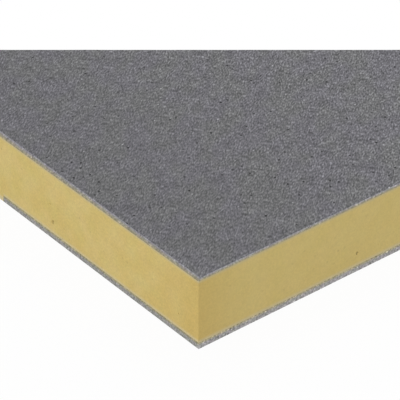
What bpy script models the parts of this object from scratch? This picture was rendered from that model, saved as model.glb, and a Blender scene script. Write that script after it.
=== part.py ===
"""Facade insulation board: rigid foam faced on both sides with mineral-coated fleece.

The board lies flat. X runs along its length, Y across its width and Z up through its thickness,
and the origin is the middle of the underside. Sizes are in metres.
"""

import bmesh
import bpy

# The format of the board
LENGTH = 1.200
WIDTH = 0.600

# The three layers, from the underside up
LOWER_FACING_THICKNESS = 0.0036
CORE_THICKNESS = 0.0342
UPPER_FACING_THICKNESS = 0.0016

# The bond line that is left between two layers
BOND_LINE = 0.0003

# How far the knife leans in across the upper facing along the two long sides
UPPER_TRIM_LEAN = 0.0014

# How far the saw breaks the lowest arris of the lower facing all round
LOWER_ARRIS_BREAK = 0.0004

# Colours as the eye sees them, red, green and blue from 0 to 255
FOAM_YELLOW = (203, 182, 118)
SLATE_GREY = (113, 113, 116)
CEMENT_GREY = (150, 148, 143)

FOAM_ROUGHNESS = 0.85
FACING_ROUGHNESS = 0.95


def clear_scene():
    """Removes whatever the start-up file holds."""
    for stray in list(bpy.data.objects):
        bpy.data.objects.remove(stray, do_unlink=True)


def linear(channel):
    """Turns one 0 to 255 screen value into the linear value that a shader takes."""
    value = channel / 255.0
    if value <= 0.04045:
        return value / 12.92
    return ((value + 0.055) / 1.055) ** 2.4


def make_material(name, colour, roughness):
    """A plain non-metallic material of one colour."""
    material = bpy.data.materials.new(name)
    material.use_nodes = True
    shader = material.node_tree.nodes["Principled BSDF"]
    red, green, blue = (linear(channel) for channel in colour)
    shader.inputs["Base Color"].default_value = (red, green, blue, 1.0)
    shader.inputs["Roughness"].default_value = roughness
    shader.inputs["Metallic"].default_value = 0.0
    return material


def sweep_along_length(section):
    """Extrudes a section, given as (y, z) points, from one sawn end of the board to the other."""
    bm = bmesh.new()
    start = [bm.verts.new((-LENGTH / 2, y, z)) for y, z in section]
    end_face = bm.faces.new(start)
    swept = bmesh.ops.extrude_face_region(bm, geom=[end_face], use_keep_orig=True)
    moved = [item for item in swept["geom"] if isinstance(item, bmesh.types.BMVert)]
    bmesh.ops.translate(bm, verts=moved, vec=(LENGTH, 0.0, 0.0))
    bmesh.ops.recalc_face_normals(bm, faces=bm.faces)
    return bm


def add_object(name, bm, material):
    """Turns a finished bmesh into a named object."""
    mesh = bpy.data.meshes.new(name)
    bm.to_mesh(mesh)
    bm.free()
    mesh.materials.append(material)
    piece = bpy.data.objects.new(name, mesh)
    bpy.context.scene.collection.objects.link(piece)
    return piece


def layer_section(bottom, thickness, lean=0.0):
    """The section of one layer across the board; both its sides lean in by lean at the top."""
    half = WIDTH / 2
    top = bottom + thickness
    return [(-half, bottom), (half, bottom), (half - lean, top), (-half + lean, top)]


def break_lowest_arris(bm, width):
    """Bevels the edges round the lowest face of a layer."""
    lowest = min(vert.co.z for vert in bm.verts)
    rim = [edge for edge in bm.edges if all(vert.co.z == lowest for vert in edge.verts)]
    bmesh.ops.bevel(bm, geom=rim, offset=width, segments=1, affect="EDGES")


def build_board():
    """Stacks the lower facing, the foam core and the upper facing."""
    slate = make_material("slate_facing", SLATE_GREY, FACING_ROUGHNESS)
    cement = make_material("cement_facing", CEMENT_GREY, FACING_ROUGHNESS)
    foam = make_material("yellow_foam", FOAM_YELLOW, FOAM_ROUGHNESS)

    core_bottom = LOWER_FACING_THICKNESS + BOND_LINE
    upper_bottom = core_bottom + CORE_THICKNESS + BOND_LINE

    lower = sweep_along_length(layer_section(0.0, LOWER_FACING_THICKNESS))
    break_lowest_arris(lower, LOWER_ARRIS_BREAK)
    add_object("lower_facing", lower, cement)

    core = sweep_along_length(layer_section(core_bottom, CORE_THICKNESS))
    add_object("foam_core", core, foam)

    upper = sweep_along_length(layer_section(upper_bottom, UPPER_FACING_THICKNESS, UPPER_TRIM_LEAN))
    add_object("upper_facing", upper, slate)


clear_scene()
build_board()
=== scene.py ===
"""Dresses the facade insulation board, and lights and frames it as the photograph does."""

import math
import random

import bpy
from mathutils import Euler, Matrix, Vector, noise


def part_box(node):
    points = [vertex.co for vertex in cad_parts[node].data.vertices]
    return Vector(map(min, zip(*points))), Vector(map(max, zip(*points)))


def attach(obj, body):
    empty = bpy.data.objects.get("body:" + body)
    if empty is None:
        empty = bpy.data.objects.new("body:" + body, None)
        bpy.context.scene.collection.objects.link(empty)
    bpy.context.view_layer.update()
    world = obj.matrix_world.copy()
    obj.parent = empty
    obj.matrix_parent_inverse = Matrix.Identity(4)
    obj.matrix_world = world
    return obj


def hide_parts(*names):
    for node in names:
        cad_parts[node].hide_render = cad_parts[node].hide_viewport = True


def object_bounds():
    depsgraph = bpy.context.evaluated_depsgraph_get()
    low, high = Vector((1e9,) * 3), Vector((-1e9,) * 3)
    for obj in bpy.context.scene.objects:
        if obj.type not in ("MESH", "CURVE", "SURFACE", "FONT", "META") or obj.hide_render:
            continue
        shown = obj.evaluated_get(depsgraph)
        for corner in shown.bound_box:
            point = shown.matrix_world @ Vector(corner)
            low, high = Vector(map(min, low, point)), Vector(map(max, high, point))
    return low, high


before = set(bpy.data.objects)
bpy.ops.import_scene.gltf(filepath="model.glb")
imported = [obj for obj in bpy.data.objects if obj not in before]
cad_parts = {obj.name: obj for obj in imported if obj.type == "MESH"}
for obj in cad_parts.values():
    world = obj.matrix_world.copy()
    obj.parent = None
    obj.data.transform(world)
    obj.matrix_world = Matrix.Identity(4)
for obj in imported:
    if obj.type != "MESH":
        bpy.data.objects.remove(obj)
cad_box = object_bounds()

MM = 0.001

# The photograph's frame in pixels, and the row above which it is blank
PHOTO_SIDE = 400
PHOTO_BLANK_ROWS = 50

# The camera, from the board's near bottom corner, its heading and its downward pitch
CAMERA_FROM_CORNER = Vector((0.76312, -0.61485, 0.75455))
CAMERA_AZIMUTH = math.radians(51.103)
CAMERA_PITCH = math.radians(34.411)
CAMERA_FOCAL_PIXELS = 2683.7
CAMERA_NEAR_CLIP = 0.05
SENSOR_WIDTH = 36.0

# Soft studio light; a strength of 1 lights a face turned to it as bright as its colour
SKY_COLOUR = (0.97, 0.985, 1.0, 1.0)
SKY_STRENGTH = 0.55
KEY_COLOUR = (1.0, 0.99, 0.97)
KEY_STRENGTH = 0.58
KEY_DIRECTION = Vector((0.285, -0.561, 0.777))
FILL_COLOUR = (0.98, 0.99, 1.0)
FILL_STRENGTH = 0.10
FILL_DIRECTION = Vector((-0.45, 0.60, 0.66))
LAMP_ANGLE = math.radians(35)

# The floor: how much of it the eye sees as plain white, and the colour under that
FLOOR_SHARE_OF_WHITE = 0.92
FLOOR_ALBEDO = 0.85
FLOOR_SIZE = 30.0

# Colours as the eye sees them, red, green and blue from 0 to 255
SLATE_COAT = (105.3, 105.2, 106.3)
SLATE_COAT_PATCHES = (105.9, 104.8, 109.6)
SLATE_EDGE_ON_SIDES = (132, 133, 140)
SLATE_EDGE_ON_ENDS = (148, 149, 155)
CEMENT_COAT = (146, 145, 142)
CEMENT_COAT_PATCHES = (144, 144, 145)
CEMENT_EDGE_ON_SIDES = (141, 142, 138)
CEMENT_EDGE_ON_ENDS = (159, 159, 158)
FOAM = (195.0, 175.5, 107.8)
FOAM_PALE_PATCHES = (198.7, 180.1, 117.2)
# Darker, oranger foam near the upright arrises
FOAM_TINT_AT_ARRISES = (190, 162, 92)
# Bluer foam along the upper facing, darkened by painted shade
FOAM_UPPER_SKIN_AND_SHADE = (188, 173, 130)
FOAM_LOWER_SKIN = (196, 182, 143)
OVERRUN_FOAM = (200, 180, 118)
OVERRUN_SKIN = (198, 185, 145)

# Tints that multiply a colour: warm foam, uneven edges, and foam soaked into an edge
WARM_TINT = (1.018, 0.978, 1.0, 1.0)
UNEVEN_TINT = (1.03, 0.98, 1.05, 1.0)
SOAKED_TINT = (1.14, 1.03, 0.59, 1.0)

# How little the dry surfaces shine
SPECULAR_LEVEL = 0.25

# How far each visible layer stays from the next one at the bond lines
SEAM = 0.02 * MM

# Steps of the meshes along the rim, and cells of their broad faces
FACING_STEP = 1.0 * MM
CORE_STEP = 1.5 * MM
HIDDEN_CELL = 12.0 * MM
COAT_CELL = 4.0 * MM
UNDERSIDE_CELL = 6.0 * MM

# Steps of the meshes up the sides
UPPER_ROWS = 4
CORE_ROWS = 24
LOWER_ROWS = 6

# Faces that meet at more than this angle meet in a sharp edge
SHARP_ANGLE = math.radians(40)

# A coated face's normal has at least this much of it along Z, even on its waves
COATED_FACE_NORMAL = 0.85

# How near to a side a vertex lies to count as on it
ON_SIDE_TOLERANCE = 0.001 * MM

# Wear and unevenness of the surfaces
SAW_WAVE_DEPTH = 0.10 * MM
SAW_WAVE_LENGTH = 14.0 * MM
EDGE_RAG_DEPTH = 0.12 * MM
EDGE_RAG_LENGTH = 1.8 * MM
COAT_WAVE_DEPTH = 0.12 * MM
COAT_WAVE_LENGTH = 18.0 * MM

# How ragged a cut edge is by its coat, as a share of its raggedness by the foam
UPPER_COAT_RAG = 1.5
LOWER_COAT_RAG = 0.2

# The knife's lean along the long sides, as shares of the CAD's, and what of it the ends have
LEAN_SHARE = 0.96
LEAN_DRIFT = 0.13
LEAN_DRIFT_PITCH = 300.0 * MM
LEAN_AT_ENDS = 0.15

# The power by which the lean dies away from the long sides inwards
LEAN_FADE = 40

# Faint broad stripes of painted light along the board, where the coat's grain is also coarser,
# and how they wander
PAINTED_LIGHT_STRIPE_PITCH = 360.0 * MM
PAINTED_LIGHT_STRIPE_WANDER = 60.0 * MM
PAINTED_LIGHT_STRIPE_WANDER_LENGTH = 150.0 * MM

# A stretch so great that a pattern goes straight down through a thin coat
STRAIGHT_DOWN = 1000.0

# The two open pores that the photograph shows in the sawn foam: half sizes, depth and turn
LONG_SIDE_PORE_FROM_CORNER = 112.9 * MM
LONG_SIDE_PORE_HEIGHT = 9.8 * MM
LONG_SIDE_PORE_FORM = (1.90 * MM, 1.00 * MM, 0.70 * MM, math.radians(61))
END_PORE_FROM_CORNER = 97.3 * MM
END_PORE_HEIGHT = 10.5 * MM
END_PORE_FORM = (1.30 * MM, 0.82 * MM, 0.65 * MM, math.radians(107))

# Scattered pores of the foam; the higher the rarity, the fewer are much wider than the least
FOAM_PORE_COUNT = 190
FOAM_PORE_MARGIN = 2.5 * MM
FOAM_PORE_LEAST_RADIUS = 0.20 * MM
FOAM_PORE_EXTRA_RADIUS = 0.60 * MM
FOAM_PORE_RARITY = 6
FOAM_PORE_SQUASH = (0.75, 1.3)
FOAM_PORE_DEPTH_SHARE = 0.7

# Scattered pits of the coat
COAT_PIT_COUNT = 1100
COAT_PIT_RADII = (0.26 * MM, 0.52 * MM)
COAT_PIT_SQUASH = (0.8, 1.25)
COAT_PIT_DEPTH_SHARE = 0.9

SCATTER_SEED = 7

# Where foam covers the cut edge of the lower facing, at the photograph's left margin
OVERRUN_FROM_CORNER = 154.4 * MM
OVERRUN_LENGTH = 9.0 * MM

# A darker, oranger tint near the upright arrises: how far from one it starts, and how far past it
# is full
ARRIS_TINT_STARTS = 52.0 * MM
ARRIS_TINT_FULL_PAST = 20.0 * MM
ARRIS_TINT_STRENGTH = 0.74

# How many times less far the tint reaches along the ends than along the long sides
ARRIS_TINT_SHORTER_ON_ENDS = 1.5


class Pit:
    """An open pore or pit: its place along and up a face, its half sizes, depth and turn."""

    def __init__(self, along, up, half_width, half_height, depth, turn):
        self.along = along
        self.up = up
        self.half_width = half_width
        self.half_height = half_height
        self.depth = depth
        self.turn = turn

    def reach(self, angle):
        """How far the pit's rim lies from its middle in one direction."""
        across = self.half_height * math.cos(angle - self.turn)
        upward = self.half_width * math.sin(angle - self.turn)
        return self.half_width * self.half_height / math.hypot(across, upward)


def square_opening(span):
    """Steps round a square opening, anticlockwise, and the low corners of the cells in it."""
    run = range(-span, span)
    round_it = [(a, -span) for a in run] + [(span, b) for b in run]
    round_it += [(-a, span) for a in run] + [(-span, -b) for b in run]
    return round_it, [(a, b) for a in run for b in run]


class Slab:
    """A closed slab counted out on a fine lattice, with coarser cells on its two faces."""

    # Rings from a pit's rim to its floor, as shares of its reach and of its depth
    PIT_RINGS = ((1.0, 0.0), (0.82, 0.55), (0.45, 0.92))

    # Whole cells that stay between a pit in the upper face and the rim
    RIM_CELLS = 1

    def __init__(self, low, high, step, rows, lower_cell, upper_cell):
        self.low = low
        self.high = high
        self.count_x = round((high.x - low.x) / step)
        self.count_y = round((high.y - low.y) / step)
        self.rows = rows
        self.lower_cuts = round(lower_cell / step)
        self.upper_cuts = round(upper_cell / step)
        self.positions = []
        self.faces = []
        self.index = {}
        self.open_quads = set()
        self.open_cells = set()

    def place(self, i, j, k):
        """Position of a lattice point."""
        size = self.high - self.low
        offset = (size.x * i / self.count_x, size.y * j / self.count_y, size.z * k / self.rows)
        return self.low + Vector(offset)

    def vertex(self, i, j, k):
        """Number of the vertex at a lattice point, made when it is first asked for."""
        key = (i, j, k)
        if key not in self.index:
            self.index[key] = self.free_vertex(self.place(i, j, k))
        return self.index[key]

    def free_vertex(self, position):
        """Number of a new vertex that is on no lattice point."""
        self.positions.append(position)
        return len(self.positions) - 1

    def rim(self, s):
        """Lattice place of step s along the rim, counted anticlockwise from the low corner."""
        s = s % (2 * (self.count_x + self.count_y))
        if s < self.count_x:
            return s, 0
        s -= self.count_x
        if s < self.count_y:
            return self.count_x, s
        s -= self.count_y
        if s < self.count_x:
            return self.count_x - s, self.count_y
        return 0, self.count_y - (s - self.count_x)

    def pit_patch(self, ring, middle, along, up, pit):
        """Closes an opening with rings of vertices that lead down into a pit."""
        outward = along.cross(up)
        arms = [self.positions[corner] - middle for corner in ring]
        angles = [math.atan2(arm.dot(up), arm.dot(along)) for arm in arms]
        for share, sink in self.PIT_RINGS:
            made = []
            for angle in angles:
                reach = pit.reach(angle) * share
                offset = along * (reach * math.cos(angle)) + up * (reach * math.sin(angle))
                made.append(self.free_vertex(middle + offset - outward * (pit.depth * sink)))
            for n in range(len(ring)):
                m = (n + 1) % len(ring)
                self.faces.append((ring[n], ring[m], made[m], made[n]))
            ring = made
        floor = self.free_vertex(middle - outward * pit.depth)
        for n in range(len(ring)):
            self.faces.append((ring[n], ring[(n + 1) % len(ring)], floor))

    def side_pit(self, pit):
        """Opens a pit in a side; along is counted on the rim, up from the slab's underside."""
        step = (self.high.x - self.low.x) / self.count_x
        row = (self.high.z - self.low.z) / self.rows
        # Half a cell more than the pit takes, because it may lie between two lattice points
        span = math.ceil(max(pit.half_width, pit.half_height) / min(step, row) + 0.5)
        round_it, cells = square_opening(span)
        s = round(pit.along / step)
        k = max(span, min(self.rows - span, round(pit.up / row)))
        block = {(s + a, k + b) for a, b in cells}
        corners = (0, self.count_x, self.count_x + self.count_y, 2 * self.count_x + self.count_y)
        near_corner = any(abs(s - corner) <= span for corner in corners)
        if near_corner or block & self.open_quads:
            return
        self.open_quads |= block
        ring = [self.vertex(*self.rim(s + a), k + b) for a, b in round_it]
        along = (self.positions[ring[2 * span]] - self.positions[ring[0]]).normalized()
        up = Vector((0.0, 0.0, 1.0))
        middle = self.place(*self.rim(s), k)
        middle += along * (pit.along - s * step) + up * (pit.up - k * row)
        self.pit_patch(ring, middle, along, up, pit)

    def upper_pit(self, pit):
        """Opens a pit in the upper face, at (along, up) from the slab's low corner."""
        cut = self.upper_cuts
        step = (self.high.x - self.low.x) / self.count_x
        span = 1
        round_it, cells = square_opening(span)
        a = round(pit.along / (step * cut))
        b = round(pit.up / (step * cut))
        block = {(a + p, b + q) for p, q in cells}
        least = span + self.RIM_CELLS
        along_inside = least <= a <= self.count_x // cut - least
        up_inside = least <= b <= self.count_y // cut - least
        if not (along_inside and up_inside) or block & self.open_cells:
            return
        self.open_cells |= block
        ring = [self.vertex((a + p) * cut, (b + q) * cut, self.rows) for p, q in round_it]
        middle = self.low + Vector((pit.along, pit.up, self.high.z - self.low.z))
        self.pit_patch(ring, middle, Vector((1.0, 0.0, 0.0)), Vector((0.0, 1.0, 0.0)), pit)

    def cell_outline(self, a, b, cut, k):
        """Vertices round one cell of a face, anticlockwise, with every rim step it touches."""
        left, right = a * cut, (a + 1) * cut
        near, far = b * cut, (b + 1) * cut
        near_run = range(left, right, 1 if near == 0 else cut)
        right_run = range(near, far, 1 if right == self.count_x else cut)
        far_run = range(right, left, -1 if far == self.count_y else -cut)
        left_run = range(far, near, -1 if left == 0 else -cut)
        loop = [(i, near) for i in near_run] + [(right, j) for j in right_run]
        loop += [(i, far) for i in far_run] + [(left, j) for j in left_run]
        return [self.vertex(i, j, k) for i, j in loop]

    def build(self, name, shift, materials, slot_of):
        """Makes the mesh; shift moves each vertex and slot_of picks each face's material."""
        for s in range(2 * (self.count_x + self.count_y)):
            for k in range(self.rows):
                if (s, k) in self.open_quads:
                    continue
                here, there = self.rim(s), self.rim(s + 1)
                quad = ((here, k), (there, k), (there, k + 1), (here, k + 1))
                self.faces.append([self.vertex(*place, level) for place, level in quad])
        for a in range(self.count_x // self.upper_cuts):
            for b in range(self.count_y // self.upper_cuts):
                if (a, b) not in self.open_cells:
                    self.faces.append(self.cell_outline(a, b, self.upper_cuts, self.rows))
        for a in range(self.count_x // self.lower_cuts):
            for b in range(self.count_y // self.lower_cuts):
                self.faces.append(self.cell_outline(a, b, self.lower_cuts, 0)[::-1])
        mesh = bpy.data.meshes.new(name)
        mesh.from_pydata([shift(position) for position in self.positions], [], self.faces)
        for material in materials:
            mesh.materials.append(material)
        for polygon in mesh.polygons:
            polygon.material_index = slot_of(polygon.normal)
        mesh.shade_smooth()
        mesh.set_sharp_from_angle(angle=SHARP_ANGLE)
        piece = bpy.data.objects.new(name, mesh)
        bpy.context.scene.collection.objects.link(piece)
        return piece


class Graph:
    """A material's node tree, with short ways to add what these surfaces need."""

    def __init__(self, name):
        self.material = bpy.data.materials.new(name)
        self.material.use_nodes = True
        self.tree = self.material.node_tree
        self.shader = self.tree.nodes["Principled BSDF"]
        self.place = self.tree.nodes.new("ShaderNodeTexCoord").outputs["Object"]

    def feed(self, socket, value):
        """Links a socket to a socket, or sets it to a plain value."""
        if isinstance(value, bpy.types.NodeSocket):
            self.tree.links.new(value, socket)
        else:
            socket.default_value = value

    def calc(self, operation, first, second=0.0):
        """One step of arithmetic."""
        node = self.tree.nodes.new("ShaderNodeMath")
        node.operation = operation
        self.feed(node.inputs[0], first)
        self.feed(node.inputs[1], second)
        return node.outputs[0]

    def total(self, *terms):
        """Sum of (socket, weight) pairs."""
        result = 0.0
        for socket, weight in terms:
            result = self.calc("ADD", self.calc("MULTIPLY", socket, weight), result)
        return result

    def remap(self, value, from_low, from_high, to_low=0.0, to_high=1.0):
        """Stretches a range of values to another one, with smooth ends."""
        node = self.tree.nodes.new("ShaderNodeMapRange")
        node.interpolation_type = "SMOOTHSTEP"
        self.feed(node.inputs["Value"], value)
        self.feed(node.inputs["From Min"], from_low)
        self.feed(node.inputs["From Max"], from_high)
        self.feed(node.inputs["To Min"], to_low)
        self.feed(node.inputs["To Max"], to_high)
        return node.outputs[0]

    def near(self, value, goal, reach):
        """A mask that is 1 where the value is at its goal and fades out within reach of it."""
        return self.remap(self.calc("ABSOLUTE", self.calc("SUBTRACT", value, goal)), reach, 0.0)

    def axis(self, name):
        """One of the object's coordinates."""
        node = self.tree.nodes.new("ShaderNodeSeparateXYZ")
        self.feed(node.inputs[0], self.place)
        return node.outputs[name]

    def inset(self, name, limit):
        """How far a point lies inside the faces that are at plus and minus limit on an axis."""
        return self.calc("SUBTRACT", limit, self.calc("ABSOLUTE", self.axis(name)))

    def stretched(self, stretch, turn=0.0, move=0.0):
        """The object's coordinates, turned about Z, stretched and moved."""
        node = self.tree.nodes.new("ShaderNodeMapping")
        node.vector_type = "TEXTURE"
        self.feed(node.inputs["Vector"], self.place)
        node.inputs["Location"].default_value = (move, move, move)
        node.inputs["Rotation"].default_value = (0.0, 0.0, turn)
        node.inputs["Scale"].default_value = stretch
        return node.outputs["Vector"]

    def grain(self, size, detail=2.0, roughness=0.5, place=None):
        """Noise around zero, whose blobs are about size across."""
        node = self.tree.nodes.new("ShaderNodeTexNoise")
        self.feed(node.inputs["Vector"], place or self.place)
        node.inputs["Scale"].default_value = 1.0 / size
        node.inputs["Detail"].default_value = detail
        node.inputs["Roughness"].default_value = roughness
        return self.calc("SUBTRACT", node.outputs["Fac"], 0.5)

    def specks(self, spacing, radius, share, move):
        """A mask of round specks of uneven strength, one in each of that share of the cells."""
        node = self.tree.nodes.new("ShaderNodeTexVoronoi")
        self.feed(node.inputs["Vector"], self.stretched((1.0, 1.0, 1.0), move=move))
        node.inputs["Scale"].default_value = 1.0 / spacing
        dot = self.remap(node.outputs["Distance"], radius / spacing, 0.5 * radius / spacing)
        split = self.tree.nodes.new("ShaderNodeSeparateColor")
        self.feed(split.inputs[0], node.outputs["Color"])
        chosen = self.calc("LESS_THAN", split.outputs[0], share)
        return self.calc("MULTIPLY", self.calc("MULTIPLY", dot, chosen), split.outputs[1])

    def waves(self, value, start, pitch):
        """Smooth waves along a value, from -1 at the start to 1 half a pitch on."""
        angle = self.calc("MULTIPLY", self.calc("SUBTRACT", value, start), 2.0 * math.pi / pitch)
        return self.calc("MULTIPLY", self.calc("COSINE", angle), -1.0)

    def blend(self, amount, first, second, mode="MIX"):
        """A colour that goes from the first to the second as the amount rises to 1."""
        node = self.tree.nodes.new("ShaderNodeMix")
        node.data_type = "RGBA"
        node.blend_type = mode
        node.clamp_factor = True
        self.feed(node.inputs["Factor"], amount)
        self.feed(node.inputs["A"], first)
        self.feed(node.inputs["B"], second)
        return node.outputs["Result"]

    def tinted(self, amount, colour, tint):
        """A colour multiplied by a tint, the more so as the amount rises to 1."""
        return self.blend(amount, colour, tint, "MULTIPLY")

    def shaded(self, colour, tone):
        """A colour made lighter or darker: it is multiplied by e to the power of the tone."""
        node = self.tree.nodes.new("ShaderNodeVectorMath")
        node.operation = "SCALE"
        self.feed(node.inputs[0], colour)
        self.feed(node.inputs["Scale"], self.calc("EXPONENT", tone))
        return node.outputs[0]

    def finish(self, colour, roughness, height, relief):
        """Sets the shader from a colour, a roughness and a height map, its relief in metres."""
        self.feed(self.shader.inputs["Base Color"], colour)
        self.feed(self.shader.inputs["Roughness"], roughness)
        self.shader.inputs["Specular IOR Level"].default_value = SPECULAR_LEVEL
        bump = self.tree.nodes.new("ShaderNodeBump")
        bump.inputs["Distance"].default_value = relief
        bump.inputs["Strength"].default_value = 1.0
        self.feed(bump.inputs["Height"], height)
        self.feed(self.shader.inputs["Normal"], bump.outputs["Normal"])
        return self.material


def linear(channel):
    """Turns one 0 to 255 screen value into a linear one."""
    value = channel / 255.0
    if value <= 0.04045:
        return value / 12.92
    return ((value + 0.055) / 1.055) ** 2.4


def screen(red, green, blue):
    """A colour as the eye sees it, red, green and blue from 0 to 255, for a shader."""
    return (linear(red), linear(green), linear(blue), 1.0)


def coat_material(name, colour, patch_colour, corner):
    """Mineral-coated fleece: granular, with light grains and small pits, under faint broad
    stripes of painted light.
    """
    g = Graph(name)
    # Fibres, grains and felt are drawn out across the board, each a little more askew
    along_fibres = g.stretched((1.0, 3.2, STRAIGHT_DOWN), turn=math.radians(34))
    along_grains = g.stretched((1.0, 2.6, STRAIGHT_DOWN), turn=math.radians(40))
    along_felt = g.stretched((1.0, 1.9, 1.0), turn=math.radians(42))
    fibres = g.grain(size=0.6 * MM, detail=1.0, place=along_fibres)
    grain = g.grain(size=0.74 * MM, detail=0.0, place=along_grains)
    felt = g.grain(size=4.0 * MM, detail=1.0, place=along_felt)
    fine = g.grain(size=0.4 * MM, detail=1.0)
    light_grains = g.specks(spacing=3.6 * MM, radius=0.65 * MM, share=0.35, move=0.13)
    dark_pits = g.specks(spacing=3.6 * MM, radius=0.75 * MM, share=0.35, move=0.71)
    clouds = g.grain(size=22.0 * MM, detail=3.0, roughness=0.55)
    sweep = g.grain(size=260.0 * MM, detail=1.0)
    # Broad waves across the board that paint light in stripes on the coat
    wander = g.grain(PAINTED_LIGHT_STRIPE_WANDER_LENGTH, detail=1.0)
    across = g.total((g.axis("Y"), 1.0), (wander, PAINTED_LIGHT_STRIPE_WANDER))
    painted_light_stripes = g.waves(across, -corner.y, PAINTED_LIGHT_STRIPE_PITCH)
    tone = g.total((fibres, 1.1), (grain, 1.79), (felt, 0.75), (fine, 0.2))
    tone = g.total((tone, 1.0), (light_grains, 0.95), (dark_pits, -2.5))
    # The stripes are painted light, a little paler than the rest, and their grain is coarser
    tone = g.calc("MULTIPLY", tone, g.remap(painted_light_stripes, -1.0, 1.0, 0.89, 1.11))
    tone = g.total((tone, 1.0), (clouds, 0.15), (sweep, 0.10), (painted_light_stripes, 0.06))
    patches = g.remap(g.grain(size=11.0 * MM, detail=1.0, place=along_felt), -0.16, 0.16)
    base = g.blend(patches, colour, patch_colour)
    height = g.total((grain, 1.0), (fibres, 1.0), (fine, 0.4))
    height = g.total((height, 1.0), (light_grains, 1.2), (dark_pits, -1.6))
    roughness = g.remap(grain, -0.3, 0.3, 0.86, 0.98)
    return g.finish(g.shaded(base, tone), roughness, height, relief=0.13 * MM)


def overrun_masks(g, corner):
    """Where foam covers a short stretch of the near long side's cut edge, and its dark border."""
    right = corner.x - OVERRUN_FROM_CORNER
    left = right - OVERRUN_LENGTH
    x = g.total((g.axis("X"), 1.0), (g.grain(size=1.5 * MM), 0.8 * MM))
    near_side = g.calc("LESS_THAN", g.axis("Y"), 1.0 * MM - corner.y)
    right_part = g.calc("MULTIPLY", g.remap(x, right + 0.1 * MM, right - 0.1 * MM), near_side)
    covered = g.calc("MULTIPLY", right_part, g.remap(x, left - 0.3 * MM, left + 0.3 * MM))
    border = g.calc("MULTIPLY", g.near(x, right + 0.3 * MM, reach=0.6 * MM), near_side)
    return covered, border


def cut_edge_material(name, side_colour, end_colour, contrast, foam_height, coat_height, corner,
                      overrun=False):
    """The cut edge of a facing: a speckled section, paler near the coat by painted highlight, and
    stained by the foam.
    """
    g = Graph(name)
    grain = g.grain(size=1.2 * MM, roughness=0.6)
    fine = g.grain(size=0.5 * MM, detail=1.5)
    light_grains = g.specks(spacing=1.9 * MM, radius=0.65 * MM, share=0.40, move=0.29)
    dark_grains = g.specks(spacing=2.0 * MM, radius=0.60 * MM, share=0.40, move=0.47)
    clouds = g.grain(size=12.0 * MM)
    # The saw leaves the two ends paler than the knife leaves the long sides
    at_end = g.remap(g.inset("X", corner.x), 0.6 * MM, 0.4 * MM)
    base = g.blend(at_end, side_colour, end_colour)
    base = g.tinted(g.remap(g.grain(size=2.4 * MM, detail=1.0), -0.10, 0.10), base, UNEVEN_TINT)
    height_above = g.total((g.axis("Z"), 1.0), (g.grain(size=2.5 * MM), 0.45 * MM))
    base = g.tinted(g.near(height_above, foam_height, reach=1.8 * MM), base, SOAKED_TINT)
    # Painted highlight, in short broken runs, along the arris where the cut edge meets the coat
    arris = g.near(g.axis("Z"), coat_height, reach=0.8 * MM)
    painted_arris_highlight = g.calc("MULTIPLY", arris, g.remap(g.grain(size=3.0 * MM, detail=1.0), -0.02, 0.12))
    tone = g.total((grain, 1.8), (fine, 0.9), (clouds, 0.25))
    tone = g.total((tone, 1.0), (light_grains, 0.5), (dark_grains, -1.0))
    tone = g.total((tone, contrast), (painted_arris_highlight, 0.20))
    if overrun:
        covered, border = overrun_masks(g, corner)
        turned_down = g.remap(g.axis("Z"), 2.0 * MM, 3.0 * MM)
        cover = g.blend(turned_down, screen(*OVERRUN_SKIN), screen(*OVERRUN_FOAM))
        base = g.blend(covered, base, cover)
        tone = g.calc("MULTIPLY", tone, g.remap(covered, 0.0, 1.0, 1.0, 0.15))
        tone = g.total((tone, 1.0), (border, -0.22))
    height = g.total((grain, 1.0), (fine, 0.5), (light_grains, 0.8), (dark_grains, -1.0))
    return g.finish(g.shaded(base, tone), roughness=0.95, height=height, relief=0.14 * MM)


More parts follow.
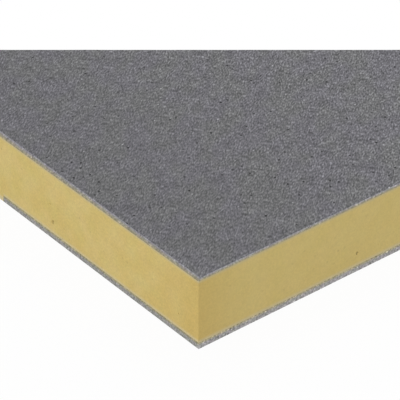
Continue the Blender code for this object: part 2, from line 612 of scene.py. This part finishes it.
def foam_material(name, corner, foam_low, foam_high):
    """Sawn rigid foam: fine closed cells, faint mottling, a paler skin along the lower facing, a
    bluer skin darkened by painted shade along the upper one, and painted shade in the open pores.
    """
    g = Graph(name)
    cells = g.grain(size=0.95 * MM, detail=1.0)
    mottle = g.grain(size=5.0 * MM, detail=3.0, roughness=0.6)
    clouds = g.grain(size=45.0 * MM)
    dots = g.specks(spacing=6.5 * MM, radius=0.80 * MM, share=0.85, move=0.37)
    glints = g.specks(spacing=5.5 * MM, radius=0.75 * MM, share=0.70, move=0.59)
    # Pale and warm patches, which show less than half as much on the ends as on the long sides
    at_end = g.remap(g.inset("X", corner.x), 1.0 * MM, 0.6 * MM)
    least = g.remap(at_end, 0.0, 1.0, 0.0, 0.3)
    most = g.calc("SUBTRACT", 1.0, least)
    pale = g.remap(g.grain(size=11.0 * MM), -0.2, 0.2, least, most)
    warm = g.remap(g.grain(size=8.0 * MM, detail=1.0), -0.2, 0.2, least, most)
    base = g.blend(pale, screen(*FOAM), screen(*FOAM_PALE_PATCHES))
    base = g.tinted(warm, base, WARM_TINT)
    # The foam is darker and oranger along the upright arrises, and further along the long sides
    along_end = g.calc("MULTIPLY", g.inset("Y", corner.y), ARRIS_TINT_SHORTER_ON_ENDS)
    from_arris = g.calc("MAXIMUM", g.inset("X", corner.x), along_end)
    arris_tint = g.remap(from_arris, ARRIS_TINT_STARTS, -ARRIS_TINT_FULL_PAST)
    arris_tint = g.calc("MULTIPLY", arris_tint, ARRIS_TINT_STRENGTH)
    base = g.blend(arris_tint, base, screen(*FOAM_TINT_AT_ARRISES))
    # Along the upper facing the foam is bluer, and darker by painted shade
    upper_skin_and_shade = g.near(g.axis("Z"), foam_high, reach=1.8 * MM)
    base = g.blend(upper_skin_and_shade, base, screen(*FOAM_UPPER_SKIN_AND_SHADE))
    # The lower skin turns down with the foam that covers the cut edge below it
    covered = overrun_masks(g, corner)[0]
    turned_down = g.calc("MULTIPLY", g.near(g.axis("Z"), foam_low, reach=3.0 * MM), covered)
    lower_skin = g.near(g.axis("Z"), foam_low, reach=2.2 * MM)
    lower_skin = g.calc("SUBTRACT", lower_skin, turned_down)
    base = g.blend(lower_skin, base, screen(*FOAM_LOWER_SKIN))
    # Painted shade darkens the open pores, which go deeper than the waves of the saw
    depth = g.calc("MINIMUM", g.inset("X", corner.x), g.inset("Y", corner.y))
    painted_pore_shade = g.remap(depth, 0.12 * MM, 0.60 * MM)
    # The ends are sawn smoother than the long sides
    tone = g.total((cells, 0.32), (mottle, 0.13), (clouds, 0.05))
    tone = g.calc("MULTIPLY", tone, g.remap(at_end, 0.0, 1.0, 1.0, 0.7))
    tone = g.total((tone, 1.0), (dots, -0.15), (glints, 0.06), (painted_pore_shade, -0.34))
    height = g.total((cells, 1.0), (mottle, 0.6), (dots, -1.0))
    roughness = g.remap(cells, -0.3, 0.3, 0.80, 0.94)
    return g.finish(g.shaded(base, tone), roughness, height, relief=0.05 * MM)


def on_side(value, limit):
    """Whether a coordinate lies on either of the sides at plus and minus limit."""
    return abs(abs(value) - limit) < ON_SIDE_TOLERANCE


def drawn_in(value, depth):
    """Moves a signed coordinate towards zero."""
    return value - math.copysign(depth, value)


def sawn_shift(corner):
    """Moves the foam's side vertices in by the shallow waves that a saw leaves."""
    def shift(p):
        depth = SAW_WAVE_DEPTH * (noise.noise(p / SAW_WAVE_LENGTH) * 0.5 + 0.5)
        x = drawn_in(p.x, depth) if on_side(p.x, corner.x) else p.x
        y = drawn_in(p.y, depth) if on_side(p.y, corner.y) else p.y
        return Vector((x, y, p.z))
    return shift


def lean_of(node):
    """How far the long sides of a packed layer lean in at its top."""
    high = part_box(node)[1]
    top = [v.co.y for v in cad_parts[node].data.vertices if v.co.z > high.z - SEAM]
    return high.y - max(top)


def facing_shift(corner, bond_height, coat_height, lean, coat_rag):
    """Leans the long sides in, roughens the cut edge and waves the coated face."""
    thickness = coat_height - bond_height

    def shift(p):
        rise = (p.z - bond_height) / thickness
        rag = EDGE_RAG_DEPTH * (noise.noise(p / EDGE_RAG_LENGTH) * 0.5 + 0.5)
        rag *= 1.0 + (coat_rag - 1.0) * rise
        drift = LEAN_DRIFT * math.cos(2.0 * math.pi * (corner.x - p.x) / LEAN_DRIFT_PITCH)
        x, y, z = p
        if on_side(p.x, corner.x):
            x = drawn_in(x, rag + lean * LEAN_AT_ENDS * rise)
        fade = (abs(p.y) / corner.y) ** LEAN_FADE
        y = drawn_in(y, lean * (LEAN_SHARE - drift) * rise * fade)
        if on_side(p.y, corner.y):
            y = drawn_in(y, rag)
        wave = noise.noise(Vector((p.x, p.y, 0.0)) / COAT_WAVE_LENGTH) * 0.5 + 0.5
        z -= math.copysign(COAT_WAVE_DEPTH * wave * max(0.0, rise), thickness)
        return Vector((x, y, z))
    return shift


def foam_pits(rng, low, high):
    """The two pores of the photograph, and more of their kind all round the sawn sides."""
    size = high - low
    long_side_place = (size.x - LONG_SIDE_PORE_FROM_CORNER, LONG_SIDE_PORE_HEIGHT - low.z)
    end_place = (size.x + END_PORE_FROM_CORNER, END_PORE_HEIGHT - low.z)
    pits = [Pit(*long_side_place, *LONG_SIDE_PORE_FORM), Pit(*end_place, *END_PORE_FORM)]
    for _ in range(FOAM_PORE_COUNT):
        along = rng.uniform(0.0, 2 * (size.x + size.y))
        up = rng.uniform(FOAM_PORE_MARGIN, size.z - FOAM_PORE_MARGIN)
        extra = FOAM_PORE_EXTRA_RADIUS * rng.random() ** FOAM_PORE_RARITY
        radius = FOAM_PORE_LEAST_RADIUS + extra
        squash = rng.uniform(*FOAM_PORE_SQUASH)
        turn = rng.uniform(0.0, math.pi)
        depth = radius * FOAM_PORE_DEPTH_SHARE
        pits.append(Pit(along, up, radius * squash, radius / squash, depth, turn))
    return pits


def coat_pits(rng, length, width):
    """Small pits scattered over the coated face."""
    pits = []
    for _ in range(COAT_PIT_COUNT):
        radius = rng.uniform(*COAT_PIT_RADII)
        squash = rng.uniform(*COAT_PIT_SQUASH)
        place = (rng.uniform(0.0, length), rng.uniform(0.0, width))
        turn = rng.uniform(0.0, math.pi)
        depth = radius * COAT_PIT_DEPTH_SHARE
        pits.append(Pit(*place, radius * squash, radius / squash, depth, turn))
    return pits


def dress(piece, node):
    """Puts a finished piece in the place of its CAD node."""
    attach(piece, "root")
    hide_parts(node)


def coat_or_edge(normal):
    """Material of a facing's face: 0 for the coated faces, 1 for the cut edge."""
    return 0 if abs(normal.z) > COATED_FACE_NORMAL else 1


def make_foam(rng, low, high):
    """The sawn foam block."""
    foam = foam_material("sawn_foam", high, low.z, high.z)
    slab = Slab(low, high, CORE_STEP, CORE_ROWS, HIDDEN_CELL, HIDDEN_CELL)
    for pit in foam_pits(rng, low, high):
        slab.side_pit(pit)
    block = slab.build("foam_block", sawn_shift(high), [foam], lambda normal: 0)
    dress(block, "foam_core")


def make_upper_facing(rng, low, high):
    """The dark coated fleece on top, with its pits."""
    coat = coat_material("slate_coat", screen(*SLATE_COAT), screen(*SLATE_COAT_PATCHES), high)
    edge = cut_edge_material("slate_cut_edge", screen(*SLATE_EDGE_ON_SIDES),
                             screen(*SLATE_EDGE_ON_ENDS), contrast=0.95, foam_height=low.z,
                             coat_height=high.z, corner=high)
    slab = Slab(low, high, FACING_STEP, UPPER_ROWS, HIDDEN_CELL, COAT_CELL)
    for pit in coat_pits(rng, high.x - low.x, high.y - low.y):
        slab.upper_pit(pit)
    shift = facing_shift(high, low.z, high.z, lean_of("upper_facing"), UPPER_COAT_RAG)
    fleece = slab.build("upper_fleece", shift, [coat, edge], coat_or_edge)
    dress(fleece, "upper_facing")


def make_lower_facing(low, high):
    """The mid grey coated fleece underneath, thicker than the upper one."""
    coat = coat_material("cement_coat", screen(*CEMENT_COAT), screen(*CEMENT_COAT_PATCHES), high)
    edge = cut_edge_material("cement_cut_edge", screen(*CEMENT_EDGE_ON_SIDES),
                             screen(*CEMENT_EDGE_ON_ENDS), contrast=1.25, foam_height=high.z,
                             coat_height=low.z, corner=high, overrun=True)
    slab = Slab(low, high, FACING_STEP, LOWER_ROWS, UNDERSIDE_CELL, HIDDEN_CELL)
    shift = facing_shift(high, high.z, low.z, lean_of("lower_facing"), LOWER_COAT_RAG)
    fleece = slab.build("lower_fleece", shift, [coat, edge], coat_or_edge)
    dress(fleece, "lower_facing")


def make_board():
    """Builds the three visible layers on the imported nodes' boxes."""
    lower_low, lower_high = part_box("lower_facing")
    core_low, core_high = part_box("foam_core")
    upper_low, upper_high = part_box("upper_facing")
    rng = random.Random(SCATTER_SEED)
    # The foam has grown onto its facings, so it takes the two bond lines
    foam_low = Vector((core_low.x, core_low.y, lower_high.z + SEAM))
    foam_high = Vector((core_high.x, core_high.y, upper_low.z - SEAM))
    make_foam(rng, foam_low, foam_high)
    make_upper_facing(rng, upper_low, upper_high)
    make_lower_facing(lower_low, lower_high)


def white_to_the_eye(tree):
    """1 for camera, glossy and transmission rays, which see white, and 0 for the rest."""
    path = tree.nodes.new("ShaderNodeLightPath")
    seen = path.outputs["Is Camera Ray"]
    for other in ("Is Glossy Ray", "Is Transmission Ray"):
        either = tree.nodes.new("ShaderNodeMath")
        either.operation = "MAXIMUM"
        tree.links.new(seen, either.inputs[0])
        tree.links.new(path.outputs[other], either.inputs[1])
        seen = either.outputs[0]
    return seen


def mixed(tree, amount, first, second):
    """A shader that goes from the first shader to the second as the amount rises to 1."""
    mix = tree.nodes.new("ShaderNodeMixShader")
    tree.links.new(amount, mix.inputs[0])
    tree.links.new(first.outputs[0], mix.inputs[1])
    tree.links.new(second.outputs[0], mix.inputs[2])
    return mix.outputs[0]


def make_floor():
    """A pale floor that reads as white and keeps a faint shadow of the board."""
    mesh = bpy.data.meshes.new("floor")
    half = FLOOR_SIZE / 2
    corners = [(-half, -half, 0.0), (half, -half, 0.0), (half, half, 0.0), (-half, half, 0.0)]
    mesh.from_pydata(corners, [], [(0, 1, 2, 3)])
    floor = bpy.data.objects.new("floor", mesh)
    bpy.context.scene.collection.objects.link(floor)
    material = bpy.data.materials.new("pale_floor")
    material.use_nodes = True
    tree = material.node_tree
    tree.nodes.remove(tree.nodes["Principled BSDF"])
    matt = tree.nodes.new("ShaderNodeBsdfDiffuse")
    matt.inputs["Color"].default_value = (FLOOR_ALBEDO, FLOOR_ALBEDO, FLOOR_ALBEDO, 1.0)
    white = tree.nodes.new("ShaderNodeEmission")
    white.inputs["Strength"].default_value = 1.0
    share = tree.nodes.new("ShaderNodeMath")
    share.operation = "MULTIPLY"
    share.inputs[1].default_value = FLOOR_SHARE_OF_WHITE
    tree.links.new(white_to_the_eye(tree), share.inputs[0])
    surface = mixed(tree, share.outputs[0], matt, white)
    tree.links.new(surface, tree.nodes["Material Output"].inputs["Surface"])
    mesh.materials.append(material)


def make_world():
    """A soft even sky that the camera sees as white."""
    world = bpy.data.worlds.new("studio")
    world.use_nodes = True
    bpy.context.scene.world = world
    tree = world.node_tree
    sky = tree.nodes["Background"]
    sky.inputs["Color"].default_value = SKY_COLOUR
    sky.inputs["Strength"].default_value = SKY_STRENGTH
    white = tree.nodes.new("ShaderNodeBackground")
    white.inputs["Color"].default_value = (1.0, 1.0, 1.0, 1.0)
    white.inputs["Strength"].default_value = 1.0
    surface = mixed(tree, white_to_the_eye(tree), sky, white)
    tree.links.new(surface, tree.nodes["World Output"].inputs["Surface"])


def make_lamp(name, direction, strength, colour):
    """A broad distant lamp that shines from that direction."""
    lamp = bpy.data.lights.new(name, "SUN")
    lamp.energy = strength * math.pi
    lamp.angle = LAMP_ANGLE
    lamp.color = colour
    holder = bpy.data.objects.new(name, lamp)
    holder.rotation_euler = direction.to_track_quat("Z", "Y").to_euler()
    bpy.context.scene.collection.objects.link(holder)


def make_camera():
    """The photograph's camera; its far clip ends the board where the photograph is cut off."""
    low, high = cad_box
    data = bpy.data.cameras.new("camera")
    data.sensor_width = SENSOR_WIDTH
    data.lens = CAMERA_FOCAL_PIXELS * SENSOR_WIDTH / PHOTO_SIDE
    camera = bpy.data.objects.new("camera", data)
    camera.location = Vector((high.x, low.y, low.z)) + CAMERA_FROM_CORNER
    camera.rotation_euler = Euler((math.pi / 2 - CAMERA_PITCH, 0.0, CAMERA_AZIMUTH))
    bpy.context.scene.collection.objects.link(camera)
    bpy.context.scene.camera = camera
    # The cut takes in the hollows of the coat, so that none of them shows the floor behind
    above_axis = math.atan((PHOTO_SIDE / 2 - PHOTO_BLANK_ROWS) / CAMERA_FOCAL_PIXELS)
    drop = camera.location.z - high.z + COAT_WAVE_DEPTH
    data.clip_start = CAMERA_NEAR_CLIP
    data.clip_end = drop / math.sin(CAMERA_PITCH - above_axis) * math.cos(above_axis)


make_board()
make_floor()
make_world()
make_lamp("key", KEY_DIRECTION, KEY_STRENGTH, KEY_COLOUR)
make_lamp("fill", FILL_DIRECTION, FILL_STRENGTH, FILL_COLOUR)
make_camera()
bpy.context.scene.view_settings.view_transform = "Standard"
